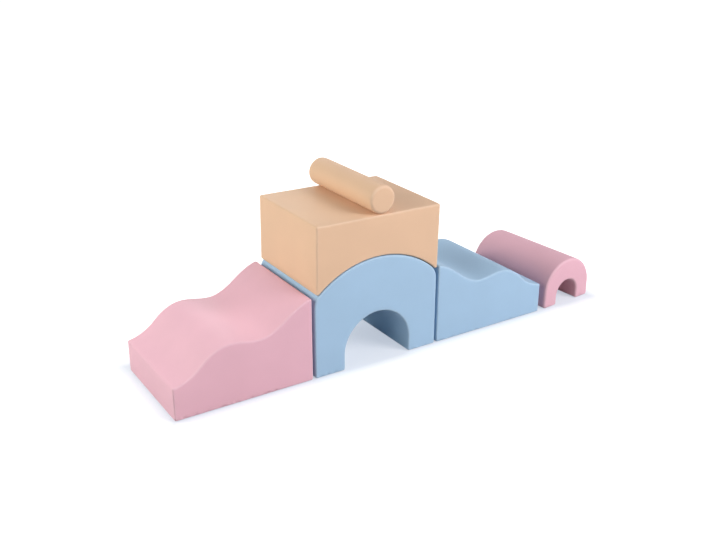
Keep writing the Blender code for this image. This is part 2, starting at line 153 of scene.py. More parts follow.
# Foam cores
FOAM_INSET = 0.0040
FOAM_RIM = 0.0025
FOAM_RIM_STEPS = 4
FOAM_SPACING = 0.03

# Zippers
ZIPPER_END_MARGIN = 0.050
ZIPPER_HEIGHT = 0.0225
SLOT_WIDTH = 0.0084
TAPE_WIDTH = 0.024
ROLL_TAPE_WIDTH = 0.016
TAPE_THICKNESS = 0.0008
TAPE_END = 0.008
CHAIN_WIDTH = 0.0046
CHAIN_PROUD = 0.0006
TAPE_DEPTH = 0.0013  # from the wall's outside to the tape's face
TOOTH_PITCH = 0.00125
TOOTH_LENGTH = 0.0010
TOOTH_SHARE = 0.62  # of the chain's width
STOP_LENGTH = 0.0030
STOP_WIDTH = 0.0066
STITCH_LENGTH = 0.0027
STITCH_PITCH = 0.0036
STITCH_RADIUS = 0.00028
STITCH_MARGIN = 0.0022  # from the slot's edge
STITCH_SIDES = 6
STITCH_END_SHARE = 0.6  # of its radius, where the thread goes into the leather
STITCH_START = 0.010  # a stitch is laid on the cover from this far outside the wall
# Along a stitch as shares of its length, and its height in thread radii
STITCH_SHARES = ((-0.5, -1.2), (-0.4, 0.2), (-0.15, 0.6), (0.15, 0.6), (0.4, 0.2), (0.5, -1.2))
SLIDER_BEVEL = 0.00022
SLIDER_BEVEL_STEPS = 2

# Non-slip panels
DOT_PITCH = 0.0105
DOT_ROW_PITCH = DOT_PITCH * math.sqrt(3) / 2
DOT_ROW_FREE = DOT_PITCH * 1.5  # left free at the two ends of a row together
DOT_RADIUS = 0.0022
DOT_HEIGHT = 0.0004
DOT_SHARES = ((1.0, 0.0), (0.92, 0.55), (0.62, 0.9))  # of a stud's radius and height, from its foot up
DOT_SIDES = 8
PANEL_SHEET = 0.0008

# Leather
NOISE_SPAN = (0.3, 0.7)  # where a noise counts as low and as high
GRAIN = 0.0011
GRAIN_DEPTH = 0.00012
GRAIN_STRENGTH = 0.35
CREASE_WIDTH = 0.18  # in pebbles
CREASE_SHADE_SHARE = 0.10  # of the deep colour in a crease: painted shade
CREASE_ROUGHNESS = 0.08  # on top of the pebbles' own
PORE = 0.0003
PORE_SHARE = 0.6  # of a crease's depth
PATCH = 0.16
PATCH_FACTORS = (0.975, 1.02)
RIM_HIGHLIGHT_WHITE_SHARE = 0.4  # of white in the paler colour along a rim: a painted highlight, partly wear
RIM_HIGHLIGHT_REACH = 0.009  # from a seam, as far as the painted rim highlight reaches
RIM_HIGHLIGHT_SHARE = 0.20
# of the deep colour in the seam grooves and hems: painted shade, with some dust
SEAM_SHADE_SHARE = 0.12
LEATHER_ROUGHNESS = (0.56, 0.62)
LEATHER_SPECULAR = 0.28
LEATHER_SHEEN = 0.05
LEATHER_SHEEN_ROUGHNESS = 0.5

# Woven, foam, moulded and cast finishes
PANEL_WEAVE = 0.0008
TAPE_WEAVE = 0.0007
THREAD_WEAVE = 0.0004
TAPE_FACTOR = 0.85  # of the cover's colour, as the next two are
COIL_FACTOR = 0.9
THREAD_FACTOR = 0.95
# painted shade in a weave's hollows and a painted highlight on its thread tops
WEAVE_SHADE_AND_HIGHLIGHT_FACTORS = (0.7, 1.12)
WEAVE_FLATNESS = 6  # a weave's pitch over its relief
WEAVE_STRENGTH = 0.5
WEAVE_SHEEN = 0.2
FUZZ_PER_THREAD = 2
FOAM_CELL = 0.0016
FOAM_FLATNESS = 2  # a cell's size over its relief
FOAM_STRENGTH = 0.6
FOAM_ROUGHNESS = 0.95
FOAM_PIT_SHADE_WIDTH = 0.5  # in cells, from a cell's middle to where the painted shade is deepest
FOAM_PIT_SHADE_SHARE = 0.35
CAST_FACTORS = (0.92, 1.06)
CAST_GLOSS_FACTORS = (0.85, 1.15)
CAST_FLATNESS = 8  # a grain's size over its relief

# Colours
PINK = (0.835, 0.500, 0.590)
BLUE = (0.402, 0.596, 0.795)
PEACH = (0.812, 0.552, 0.370)
# Deep tones for the painted shade in the leather's creases and seams
PINK_SHADE = (0.55, 0.20, 0.26)
BLUE_SHADE = (0.15, 0.28, 0.46)
PEACH_SHADE = (0.55, 0.29, 0.14)
FOAM_WHITE = (0.90, 0.88, 0.80)
FOAM_YELLOW = (0.86, 0.81, 0.66)
FOAM_PIT_SHADE = (0.55, 0.50, 0.40)
CLOTH_GREY = (0.075, 0.078, 0.085)
RUBBER_BLACK = (0.03, 0.03, 0.032)
ZINC = (0.62, 0.62, 0.63)
WHITE = (1.0, 1.0, 1.0)

# Camera, measured on the photograph's 716 by 540 frame
PHOTO_WIDTH = 716
FOCAL_PIXELS = 931.3
CAMERA_PLACE = Vector((-1.6268, -2.6053, 1.5549))  # from the foot of the arch's middle
CAMERA_YAW = 0.5707
CAMERA_PITCH = 0.3946
CAMERA_ROLL = 0.0013

# Floor and light
FLOOR_REACH = 30.0
FLOOR_DROP = 0.0002
FLOOR_TONE = 0.42
FLOOR_ROUGHNESS = 0.9
FLOOR_SPECULAR = 0.1
FLOOR_GLOW = 0.575  # near the row
FLOOR_GLOW_REACH = (0.0, 0.08)  # from the row's box outwards
FLOOR_GLOW_COLOUR = (0.81, 0.88, 1.0)
WORLD_LIGHT = (0.058, 0.060, 0.064)
LIGHT_TARGET = Vector((-0.15, 0.0, 0.2))
# Name, place, size, watts and colour of each lamp
LAMPS = (
    ("left", (-3.2, -1.0, 1.8), 1.8, 35, (1.0, 1.0, 0.945)),
    ("left_back", (-3.0, 1.4, 1.6), 1.8, 60, (1.0, 1.0, 0.945)),
    ("front_low", (2.7, -5.0, 1.2), 2.3, 84, (1.0, 0.97, 0.985)),
    ("front_high", (2.6, -4.2, 3.8), 2.7, 238, (1.0, 0.97, 0.985)),
    ("top", (0.0, 0.0, 3.6), 2.4, 10, (0.98, 1.0, 0.99)),
    ("back", (0.9, 3.6, 1.1), 1.9, 46, (0.98, 1.0, 0.99)),
)

# Sizes that follow from those above
ARCH_RISE = ARCH_HEIGHT - ARCH_WALL_HEIGHT
CROWN_RADIUS = ((ARCH_LENGTH / 2) ** 2 + ARCH_RISE**2) / (2 * ARCH_RISE)
CROWN_CENTRE = ARCH_HEIGHT - CROWN_RADIUS
SADDLE_RADIUS = CROWN_RADIUS + CLEARANCE + PANEL_PROUD
CAP_TOP = CROWN_RADIUS + CAP_CROWN_FOAM
WALL_FOOT = PANEL_PROUD + CORNER_RADIUS

Corner = namedtuple("Corner", "x z radius base", defaults=(0.0, False))
Path = namedtuple("Path", "points base along length")
Opening = namedtuple("Opening", "low high near far")
Zip = namedtuple("Zip", "length width place turn")
Block = namedtuple("Block", "name body finish path depth place zip panels seed rim", defaults=(RIM_RADIUS,))


# Outlines

def arc(centre, radius, start, end):
    """Corners with no fillet along an arc from angle start to angle end."""
    steps = math.ceil(max(abs(end - start) / MOST_TURN, abs(end - start) * radius / ARC_SPACING, 1))
    angles = [start + (end - start) * i / steps for i in range(steps + 1)]
    return [Corner(centre[0] + radius * math.cos(a), centre[1] + radius * math.sin(a)) for a in angles]


def crown(half_length, radius, top, shoulder):
    """Over the top of an arch from its right wall to its left: a shoulder, the crown and a shoulder."""
    inner = half_length - shoulder
    meet = math.acos(min(inner / (radius - shoulder), 1))
    height = top - radius + (radius - shoulder) * math.sin(meet)
    right = arc((inner, height), shoulder, 0, meet)
    middle = arc((0, top - radius), radius, meet, math.pi - meet)
    left = arc((-inner, height), shoulder, math.pi - meet, math.pi)
    return right[:-1] + middle + left[1:]


def filleted(corner, before, after):
    """The points that take a corner's place on the outline."""
    here = Vector((corner.x, corner.z))
    if not corner.radius:
        return [here]
    back = (Vector((before.x, before.z)) - here).normalized()
    on = (Vector((after.x, after.z)) - here).normalized()
    half = back.angle(on) / 2
    centre = here + (back + on).normalized() * corner.radius / math.sin(half)
    start = here + back * corner.radius / math.tan(half) - centre
    turn = math.pi - 2 * half
    steps = max(math.ceil(turn / MOST_TURN), 1)
    side = math.copysign(1, on.cross(back))
    angles = [side * turn * i / steps for i in range(steps + 1)]
    return [centre + Matrix.Rotation(angle, 2) @ start for angle in angles]


def path_of(points, base):
    points = np.array(points, float)
    steps = np.linalg.norm(np.roll(points, -1, axis=0) - points, axis=1)
    return Path(points, np.array(base), np.concatenate([[0], np.cumsum(steps)[:-1]]), float(steps.sum()))


def outline(corners):
    """A closed path round the corners, anticlockwise from the front, with sides up to SIDE_SPACING long."""
    points, base = [], []
    for i, corner in enumerate(corners):
        found = filleted(corner, corners[i - 1], corners[(i + 1) % len(corners)])
        points += found
        base += [False] * (len(found) - 1) + [corner.base]
    fine, marks = [], []
    for i, start in enumerate(points):
        end = points[(i + 1) % len(points)]
        steps = math.ceil((end - start).length / SIDE_SPACING - SAME_PLACE)
        fine += [start.lerp(end, k / steps) for k in range(steps)]
        marks += [base[i]] * steps
    return path_of(fine, marks)


def at_places(path, values, along):
    """Pairs of values known at the path's points, at these lengths along it."""
    closed = np.vstack([values, values[:1]])
    ends = np.append(path.along, path.length)
    return np.stack([np.interp(along % path.length, ends, closed[:, k]) for k in (0, 1)], axis=1)


def with_places(path, places):
    """The path with more points, at these lengths along it."""
    extra = [p % path.length for p in places]
    far = [p for p in extra if np.abs(path.along - p).min() > SAME_PLACE]
    along = np.unique(np.round(np.concatenate([path.along, far]), 7))
    points = at_places(path, path.points, along)
    side = np.searchsorted(path.along, along + SAME_PLACE / 2, side="right") - 1
    return Path(points, path.base[side], along, path.length)


def along_at(path, x, z):
    """The length along the path at its nearest place to x, z."""
    start = path.points
    side = np.roll(start, -1, axis=0) - start
    to = np.array((x, z)) - start
    share = np.clip((to * side).sum(1) / (side**2).sum(1), 0, 1)
    nearest = np.linalg.norm(to - side * share[:, None], axis=1).argmin()
    return path.along[nearest] + share[nearest] * np.linalg.norm(side[nearest])


def inward_normals(path):
    """For each point, the step that moves both its sides inwards by one unit."""
    sides = np.roll(path.points, -1, axis=0) - path.points
    sides /= np.linalg.norm(sides, axis=1)[:, None]
    before = np.roll(sides, 1, axis=0)
    total = np.stack([-before[:, 1] - sides[:, 1], before[:, 0] + sides[:, 0]], axis=1)
    return 2 * total / (total**2).sum(1)[:, None]


def inset(path, distance):
    return path_of(path.points + inward_normals(path) * distance, path.base)


def ramp_outline(rise_to):
    """A wave ramp that rises towards +X if rise_to is 1, or towards -X if it is -1."""
    half, rise = RAMP_LENGTH / 2, RAMP_HIGH_END - RAMP_LOW_END
    keys = [Vector((RAMP_LENGTH * x - half, RAMP_LOW_END + rise * up)) for x, up, _ in WAVE_SHARES]
    slopes = [share * rise / RAMP_LENGTH for _, _, share in WAVE_SHARES]
    wave = [keys[0]]
    for i in range(len(keys) - 1):
        third = (keys[i + 1].x - keys[i].x) / 3
        first = keys[i] + Vector((third, third * slopes[i]))
        second = keys[i + 1] - Vector((third, third * slopes[i + 1]))
        wave += interpolate_bezier(keys[i], first, second, keys[i + 1], WAVE_STEPS + 1)[1:]
    corners = [
        Corner(-half, PANEL_PROUD, CORNER_RADIUS, True),
        Corner(half, PANEL_PROUD, CORNER_RADIUS),
        Corner(half, wave[-1].y, CORNER_RADIUS),
        *(Corner(p.x, p.y) for p in reversed(wave[1:-1]) if abs(p.x) < half - CORNER_RADIUS),
        Corner(-half, wave[0].y, CORNER_RADIUS),
    ]
    if rise_to < 0:
        corners = [corner._replace(x=-corner.x, base=False) for corner in reversed(corners)]
        corners[-2] = corners[-2]._replace(base=True)
        corners = corners[-2:] + corners[:-2]
    return outline(corners)


def arch_outline(length, height, radius, shoulder, tunnel_width, tunnel_height, corner=CORNER_RADIUS):
    """An arch with a round-topped tunnel: two feet, the tunnel between them and the crown over them."""
    half, opening = length / 2, tunnel_width / 2
    return outline([
        Corner(-half, PANEL_PROUD, corner, True),
        Corner(-opening, PANEL_PROUD, corner),
        *arc((0, tunnel_height - opening), opening, math.pi, 0),
        Corner(opening, PANEL_PROUD, corner, True),
        Corner(half, PANEL_PROUD, corner),
        *crown(half, radius, height, shoulder),
    ])


def cap_tip():
    """From the crown's centre to that of the right tip's fillet."""
    x = CAP_LENGTH / 2 - CORNER_RADIUS
    return x, math.sqrt((SADDLE_RADIUS + CORNER_RADIUS) ** 2 - x**2)


def cap_outline():
    """The bridge cap about the crown's centre: a saddle between two pointed tips, and a flat top."""
    half = CAP_LENGTH / 2
    tip_x, tip_z = cap_tip()
    turn = math.atan2(tip_z, tip_x)
    saddle = arc((0, 0), SADDLE_RADIUS, math.pi - turn, turn)
    right = arc((tip_x, tip_z), CORNER_RADIUS, turn - math.pi, 0)
    left = arc((-tip_x, tip_z), CORNER_RADIUS, -math.pi, -turn)
    return outline([
        *left[:-1],
        *(corner._replace(base=True) for corner in saddle[:-1]),
        saddle[-1],
        *right[1:],
        Corner(half, CAP_TOP, CORNER_RADIUS),
        Corner(-half, CAP_TOP, CORNER_RADIUS),
    ])


def roll_outline():
    return outline(arc((0, 0), ROLL_DIAMETER / 2, 0, 2 * math.pi)[:-1])


# Sewn surfaces

# A place on a band is its length along the outline and its length across from the middle of the depth. The
# second runs on round the rims to the edges of the flat front and back panels.

def band_edge(depth, rim):
    return depth / 2 - rim


def rim_turn(rim):
    """The length of leather round a rim, from the band to the flat panel."""
    return math.pi / 2 * rim


def base_openings(path, depth, rim):
    """The openings in a cover's base, one for each foot, from left to right."""
    starts = [i for i in range(len(path.base)) if path.base[i] and not path.base[i - 1]]
    ends = [i for i in range(len(path.base)) if not path.base[i] and path.base[i - 1]]
    edge = band_edge(depth, rim)
    return [Opening(path.along[a], path.along[b], -edge, edge) for a, b in zip(starts, ends)]


def outside(opening, along, across, length):
    """How far places lie outside an opening. Inside it this is 0."""
    ahead = (along - opening.low) % length
    wide = opening.high - opening.low
    beyond = np.minimum(ahead - wide, length - ahead)
    beyond = np.where(ahead <= wide, 0, beyond)
    beside = np.maximum(np.maximum(opening.near - across, across - opening.far), 0)
    return np.hypot(beyond, beside)


def inside(opening, along, across, length):
    ahead = (along - opening.low + SAME_PLACE) % length
    lengthwise = ahead <= opening.high - opening.low + 2 * SAME_PLACE
    return lengthwise and opening.near - SAME_PLACE <= across <= opening.far + SAME_PLACE


def hem(distance):
    """How deep the leather rolls in at this distance from a seam or an opening."""
    left = np.clip(HEM_RADIUS - distance, 0, HEM_RADIUS)
    return HEM_RADIUS - np.sqrt(HEM_RADIUS**2 - left**2)


def smooth_least(distances):
    """A smooth stand-in for the least of several distances."""
    return sum(np.maximum(d, SAME_PLACE) ** -LEAST_POWER for d in distances) ** (-1 / LEAST_POWER)


def waves(points, seed, size, length):
    """Slow random waves, from 0 to size."""
    shift = Vector((seed, seed * seed, -seed))
    found = [noise.noise(Vector(p) / length + shift) for p in points]
    return size * (0.5 + 0.5 * np.array(found))


def leather_depth(points, seam, seed):
    """How far the leather lies inside the full face, from its distance to the nearest seam."""
    drawn = DRAW_IN * np.exp(-seam / DRAW_REACH)
    sag = waves(points, seed, SAG, SAG_LENGTH) * (1 - np.exp(-seam / DRAW_REACH))
    pucker = waves(points, seed + 0.5, PUCKER, PUCKER_LENGTH) * np.exp(-seam / PUCKER_REACH)
    return drawn + sag + pucker


def round_rim(across, depth, rim):
    """For each place across: its inset, its y and its normal's parts out of the outline and along y."""
    edge = band_edge(depth, rim)
    past = np.clip(np.abs(across) - edge, 0, None)
    turn = math.pi / 2 - past / rim
    side = np.sign(across)
    y = np.where(past > 0, side * (depth / 2 - rim * (1 - np.cos(turn))), across)
    return rim * (1 - np.sin(turn)), y, np.sin(turn), side * np.cos(turn)


def ring_places(depth, rim, openings):
    """Where across the depth the surface has its rings."""
    edge = band_edge(depth, rim)
    half = rim_turn(rim) / 2
    count = math.ceil(2 * edge / BAND_SPACING)
    places = list(np.linspace(-edge, edge, count + 1))
    further = np.arange(RIM_STEPS[-1] + RIM_SPACING, half - RIM_SPACING / 2, RIM_SPACING)
    for step in (*HEM_STEPS, *RIM_STEPS, *further, half):
        places += [side * (edge + half + way * step) for side in (-1, 1) for way in (-1, 1)]
    for opening in openings:
        for step in HEM_STEPS:
            places += [opening.near - step, opening.far + step]
    places = sorted(places)
    kept = [places[0]]
    for place in places[1:]:
        if place - kept[-1] > SAME_PLACE:
            kept.append(place)
    return np.array(kept)


def fill(ring, hole=None):
    """Points inside a flat closed ring, and triangles over it that number the ring's points first."""
    low, high = ring.min(0), ring.max(0)
    row_height = PANEL_SPACING * math.sqrt(3) / 2
    lattice = np.array([
        (x + (row % 2) * PANEL_SPACING / 2, z)
        for row, z in enumerate(np.arange(low[1], high[1], row_height))
        for x in np.arange(low[0], high[0], PANEL_SPACING)
    ])
    lattice = lattice[within(lattice, ring) & (nearest(lattice, ring) > PANEL_SPACING * BORDER_SHARE)]
    if hole is not None:
        borders = [hole_ring(hole, step) for step in HEM_STEPS + RIM_STEPS]
        lattice = lattice[outside_box(hole, lattice) > RIM_STEPS[-1] + PANEL_SPACING * HOLE_SHARE]
        lattice = np.vstack([*borders, lattice])
    points = np.vstack([ring, lattice])
    border = [(i, (i + 1) % len(ring)) for i in range(len(ring))]
    if hole is not None:
        start = len(ring)
        count = len(borders[0])
        border += [(start + i, start + (i + 1) % count) for i in range(count)]
    found = delaunay_2d_cdt([Vector(p) for p in points], border, [], 0, SAME_PLACE / 4)
    assert len(found[0]) == len(points)
    where = {}
    for new, old in enumerate(found[3]):
        where[new] = old[0]
    triangles = []
    for face in found[2]:
        a, b, c = (where[i] for i in face)
        in_hole = hole is not None and all(start <= k < start + count for k in (a, b, c))
        if in_hole or not within(points[[a, b, c]].mean(0)[None], ring)[0]:
            continue
        turn = np.cross(points[b] - points[a], points[c] - points[a])
        triangles.append((a, b, c) if turn > 0 else (a, c, b))
    return lattice, triangles


def within(points, ring):
    """Whether points lie inside a flat closed ring."""
    following = np.roll(ring, -1, axis=0)
    x, z = points[:, :1], points[:, 1:]
    crosses = (ring[:, 1] > z) != (following[:, 1] > z)
    rise = np.where(following[:, 1] == ring[:, 1], 1, following[:, 1] - ring[:, 1])
    at = ring[:, 0] + (z - ring[:, 1]) * (following[:, 0] - ring[:, 0]) / rise
    return (crosses & (x < at)).sum(1) % 2 == 1


def nearest(points, ring):
    return np.sqrt(((points[:, None] - ring[None]) ** 2).sum(2)).min(1)


def edge_distance(points, ring):
    """A smooth distance from points to a ring's line: 1 over its fourth power, summed along the line."""
    following = np.roll(ring, -1, axis=0)
    middle = (ring + following) / 2
    step = np.linalg.norm(following - ring, axis=1)
    squares = ((points[:, None] - middle[None]) ** 2).sum(2)
    return (2 / math.pi * (step / np.maximum(squares, SAME_PLACE**2) ** 2).sum(1)) ** (-1 / 3)


def outside_box(hole, points):
    """How far flat points lie outside a hole, given by its middle, length and width."""
    x, z, length, width = hole
    return np.hypot(
        np.maximum(np.abs(points[:, 0] - x) - length / 2, 0),
        np.maximum(np.abs(points[:, 1] - z) - width / 2, 0))


def hole_ring(hole, distance):
    """A ring of places round a hole at a distance from its edge, the same number for each distance."""
    x, z, length, width = hole
    end, side = length / 2 - HEM_RADIUS, width / 2 - HEM_RADIUS
    run = np.linspace(-end, end, math.ceil(length / SIDE_SPACING) + 1)
    bottom = [(x + a, z - width / 2 - distance) for a in run]
    right = [(x + length / 2 + distance, z + a) for a in (-side, side)]
    top = [(x + a, z + width / 2 + distance) for a in run[::-1]]
    left = [(x - length / 2 - distance, z + a) for a in (side, -side)]
    return np.array(bottom + right + top + left)


def added(name, data):
    """A new object with this data, in the scene."""
    made = bpy.data.objects.new(name, data)
    bpy.context.scene.collection.objects.link(made)
    return made


def new_piece(name, vertices, faces, block, finish, slot, smooth=True):
    """A mesh object in the block's place that rides on its body."""
    mesh = bpy.data.meshes.new(name)
    mesh.from_pydata([tuple(v) for v in vertices], [], [tuple(face) for face in faces])
    piece = added(name, mesh)
    mesh.materials.append(finish)
    if smooth:
        mesh.shade_smooth()
    piece.matrix_world = block.place
    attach(piece, block.body)
    return piece


def thicken(piece, thickness):
    """Gives a sheet its thickness, inwards from its outer face."""
    shell = piece.modifiers.new("Thickness", "SOLIDIFY")
    shell.thickness = thickness
    shell.offset = -1


def grid_faces(rows, count, closed=False):
    """Faces between neighbouring rows of points, with count points in each row."""
    last = count if closed else count - 1
    corners = [((r, i), (r + 1, i), (r + 1, (i + 1) % count), (r, (i + 1) % count))
               for r in range(rows - 1) for i in range(last)]
    return [[row * count + k for row, k in face] for face in corners]


def turned(faces):
    return [face[::-1] for face in faces]


def joined(parts):
    """The vertices and faces of several shapes in one list each."""
    vertices, faces = [], []
    for found, sides in parts:
        start = len(vertices)
        vertices += found
        faces += [[start + k for k in face] for face in sides]
    return vertices, faces


def band_points(path, inwards, insets, ys):
    """The points of a band along the path, ring by ring across the depth, and their x and z alone."""
    flat = path.points[None] + inwards[None] * insets[:, None, None]
    depth = np.repeat(ys[:, None], len(path.points), 1)
    return np.stack([flat[..., 0], depth, flat[..., 1]], axis=-1), flat


def end_panel(flat, ring, y, start, hole=None):
    """The flat panel in a band's end ring: points of its own, numbered from start, and its faces."""
    count = flat.shape[1]
    more, triangles = fill(flat[ring], hole)
    names = [ring * count + i for i in range(count)] + [start + i for i in range(len(more))]
    points = np.stack([more[:, 0], np.full(len(more), y), more[:, 1]], axis=-1)
    faces = [[names[k] for k in face] for face in triangles]
    return points, faces if y < 0 else turned(faces)


def base_and_zipper(block):
    """The openings in the cover's band, and the hole in its back panel if the zipper is there."""
    openings = base_openings(block.path, block.depth, block.rim)
    if not block.zip.turn:
        return openings, (block.zip.place.x, block.zip.place.z, block.zip.length, SLOT_WIDTH)
    middle = along_at(block.path, block.zip.place.x, block.zip.place.z)
    openings.append(Opening(
        middle - SLOT_WIDTH / 2, middle + SLOT_WIDTH / 2, -block.zip.length / 2, block.zip.length / 2))
    return openings, None


def add_cover(block):
    """The sewn cover: a band with rounded rims and two flat panels, open at the base and the zipper."""
    openings, hole = base_and_zipper(block)
    extra = [
        place for opening in openings for step in HEM_STEPS
        for place in (opening.low - step, opening.high + step)]
    path = with_places(block.path, extra)
    across = ring_places(block.depth, block.rim, openings)
    insets, ys, out_in, out_y = round_rim(across, block.depth, block.rim)
    inwards = at_places(block.path, inward_normals(block.path), path.along)
    half_rim = rim_turn(block.rim) / 2
    seam_at = band_edge(block.depth, block.rim) + half_rim

    rings, count = len(across), len(path.points)
    across_grid, along_grid = np.meshgrid(across, path.along, indexing="ij")
    points, flat = band_points(path, inwards, insets, ys)
    unit = inwards / np.linalg.norm(inwards, axis=1)[:, None]
    normals = np.stack([
        -unit[None, :, 0] * out_in[:, None],
        np.repeat(out_y[:, None], count, 1),
        -unit[None, :, 1] * out_in[:, None]], axis=-1)
    to_openings = [outside(opening, along_grid, across_grid, path.length) for opening in openings]
    to_rims = [np.abs(across_grid - side * seam_at) + SEAM_PULL for side in (-1, 1)]
    seam = smooth_least(to_rims + to_openings)
    sharp = np.minimum.reduce(to_rims + to_openings)

    vertices, seams, hems, outs = (
        [points.reshape(-1, 3)], [seam.ravel()], [sharp.ravel()], [normals.reshape(-1, 3)])
    open_at = [
        {k for k in range(rings * count)
         if inside(opening, path.along[k % count], across[k // count], path.length)}
        for opening in openings]
    faces = [
        face for face in grid_faces(rings, count, closed=True)
        if not any(found.issuperset(face) for found in open_at)]

    for ring, side in ((0, -1), (rings - 1, 1)):
        cut = hole if side > 0 else None
        more, more_faces = end_panel(flat, ring, side * block.depth / 2, sum(len(v) for v in vertices), cut)
        in_wall = more[:, [0, 2]]
        edges = [edge_distance(in_wall, flat[ring]) + half_rim]
        if cut is not None:
            edges.append(outside_box(cut, in_wall))
        vertices.append(more)
        seams.append(smooth_least(edges))
        hems.append(np.minimum.reduce(edges))
        outs.append(np.tile((0.0, side, 0.0), (len(more), 1)))
        faces += more_faces

    vertices, seams = np.vstack(vertices), np.concatenate(seams)
    hems, outs = np.concatenate(hems), np.vstack(outs)
    depth = leather_depth(vertices, seams, block.seed) + hem(hems)
    vertices = vertices - outs * depth[:, None]
    finish = block.finish
    piece = new_piece(block.name + "_cover", vertices, faces, block, finish["cover"], finish["slot"])
    attribute = piece.data.attributes.new("seam", "FLOAT", "POINT")
    attribute.data.foreach_set("value", np.array(hems, np.float32))
    thicken(piece, LEATHER)
    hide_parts(block.name + "_cover")
    return piece, path


def add_foam(block):
    """The foam block inside the cover."""
    path = inset(block.path, FOAM_INSET)
    depth, rim = block.depth - 2 * FOAM_INSET, FOAM_RIM
    edge = band_edge(depth, rim)
    past = [rim * math.pi / 2 * k / FOAM_RIM_STEPS for k in range(FOAM_RIM_STEPS + 1)]
    middle = np.linspace(-edge, edge, math.ceil(2 * edge / FOAM_SPACING) + 1)
    across = np.array([-edge - p for p in past[:0:-1]] + list(middle) + [edge + p for p in past[1:]])
    insets, ys, _, _ = round_rim(across, depth, rim)
    points, flat = band_points(path, inward_normals(path), insets, ys)
    vertices = [points.reshape(-1, 3)]
    faces = grid_faces(len(across), len(path.points), closed=True)
    for ring, side in ((0, -1), (len(across) - 1, 1)):
        more, more_faces = end_panel(flat, ring, side * depth / 2, sum(len(v) for v in vertices))
        vertices.append(more)
        faces += more_faces
    piece = new_piece(block.name + "_foam", np.vstack(vertices), faces, block, FOAM, "foam")
    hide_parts(block.name + "_foam")


def stud(centre, out, right):
    """Vertices and faces of a low round stud that stands on a face."""
    up = out.cross(right)
    turns = [2 * math.pi * k / DOT_SIDES for k in range(DOT_SIDES)]
    rays = [(right * math.cos(turn) + up * math.sin(turn)) * DOT_RADIUS for turn in turns]
    vertices = [centre + ray * wide + out * DOT_HEIGHT * high for wide, high in DOT_SHARES for ray in rays]
    vertices.append(centre + out * DOT_HEIGHT)
    faces = turned(grid_faces(len(DOT_SHARES), DOT_SIDES, closed=True))
    last = (len(DOT_SHARES) - 1) * DOT_SIDES
    faces += [(last + k, last + (k + 1) % DOT_SIDES, len(vertices) - 1) for k in range(DOT_SIDES)]
    faces.append(tuple(range(DOT_SIDES))[::-1])
    return vertices, faces


def add_base_panels(block, path):
    """The non-slip panels in the cover's base: woven sheets with rubber studs, sewn in at their edges."""
    for opening, name in zip(base_openings(path, block.depth, block.rim), block.panels):
        low, high = opening.low + CLEARANCE, opening.high - CLEARANCE
        near, far = opening.near + CLEARANCE, opening.far - CLEARANCE
        along = spread(low, high, PANEL_SPACING)
        across = spread(near, far, PANEL_SPACING)
        places, normals = on_path(path, along)
        across_grid, along_grid = np.meshgrid(across, along, indexing="ij")
        edges = [along_grid - low, high - along_grid, across_grid - near, far - across_grid]
        depth = DOT_HEIGHT - PANEL_PROUD + hem(np.minimum.reduce(edges))
        flat = places[None] - normals[None] * depth[..., None]
        points = np.stack([flat[..., 0], across_grid, flat[..., 1]], axis=-1).reshape(-1, 3)
        faces = grid_faces(len(across), len(along))
        piece = new_piece(name, points, faces, block, NON_SLIP, "non_slip_fabric")
        thicken(piece, PANEL_SHEET)
        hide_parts(name)
        add_studs(block, name, path, (low, high, near, far))


def add_studs(block, name, path, area):
    """Rows of rubber studs on a non-slip panel, each row shifted by half a step."""
    low, high, near, far = area
    right = Vector((0, 1, 0))
    parts = []
    rows = int((far - near - DOT_PITCH) / DOT_ROW_PITCH)
    columns = int((high - low - DOT_ROW_FREE) / DOT_PITCH)
    for row in range(rows + 1):
        y = (near + far) / 2 + (row - rows / 2) * DOT_ROW_PITCH
        shift = (row % 2 - 0.5) * DOT_PITCH / 2
        along = [(low + high) / 2 + (k - columns / 2) * DOT_PITCH + shift for k in range(columns + 1)]
        places, normals = on_path(path, np.array(along))
        for place, normal in zip(places, normals):
            out = Vector((normal[0], 0, normal[1]))
            centre = Vector((place[0], y, place[1])) + out * (PANEL_PROUD - DOT_HEIGHT)
            parts.append(stud(centre, out, right))
    new_piece(name + "_studs", *joined(parts), block, RUBBER, "non_slip_fabric")


def spread(low, high, spacing):
    """Even places from low to high, with more of them at both hems."""
    even = np.linspace(low + 2 * HEM_RADIUS, high - 2 * HEM_RADIUS, math.ceil((high - low) / spacing))
    return np.array([low + s for s in HEM_STEPS] + list(even) + [high - s for s in HEM_STEPS[::-1]])


def on_path(path, along):
    """Points and outward normals at places along a path."""
    closed = np.vstack([path.points, path.points[:1]])
    places = at_places(path, path.points, along)
    side = np.searchsorted(path.along, along % path.length, side="right") - 1
    step = closed[side + 1] - closed[side]
    normals = np.stack([step[:, 1], -step[:, 0]], axis=1)
    return places, normals / np.linalg.norm(normals, axis=1)[:, None]


# Zippers, in a frame with X along the zipper, y = 0 on the wall's outside and +Y outwards

def zip_block(block):
    """The block's data with the zipper's frame as its place."""
    turn = Matrix.Rotation(block.zip.turn, 4, "Z")
    return block._replace(place=block.place @ Matrix.Translation(block.zip.place) @ turn)


def rounded_bar(length, width, near, far, ease):
    """Vertices and faces of a straight bar with eased long edges on its outer side."""
    x, z = length / 2, width / 2
    section = [(-z, near), (z, near), (z, far - ease), (z - ease, far), (ease - z, far), (-z, far - ease)]
    vertices = [Vector((side * x, y, z)) for side in (-1, 1) for z, y in section]
    count = len(section)
    ends = [tuple(range(count))[::-1], tuple(range(count, 2 * count))]
    return vertices, turned(grid_faces(2, count, closed=True)) + ends


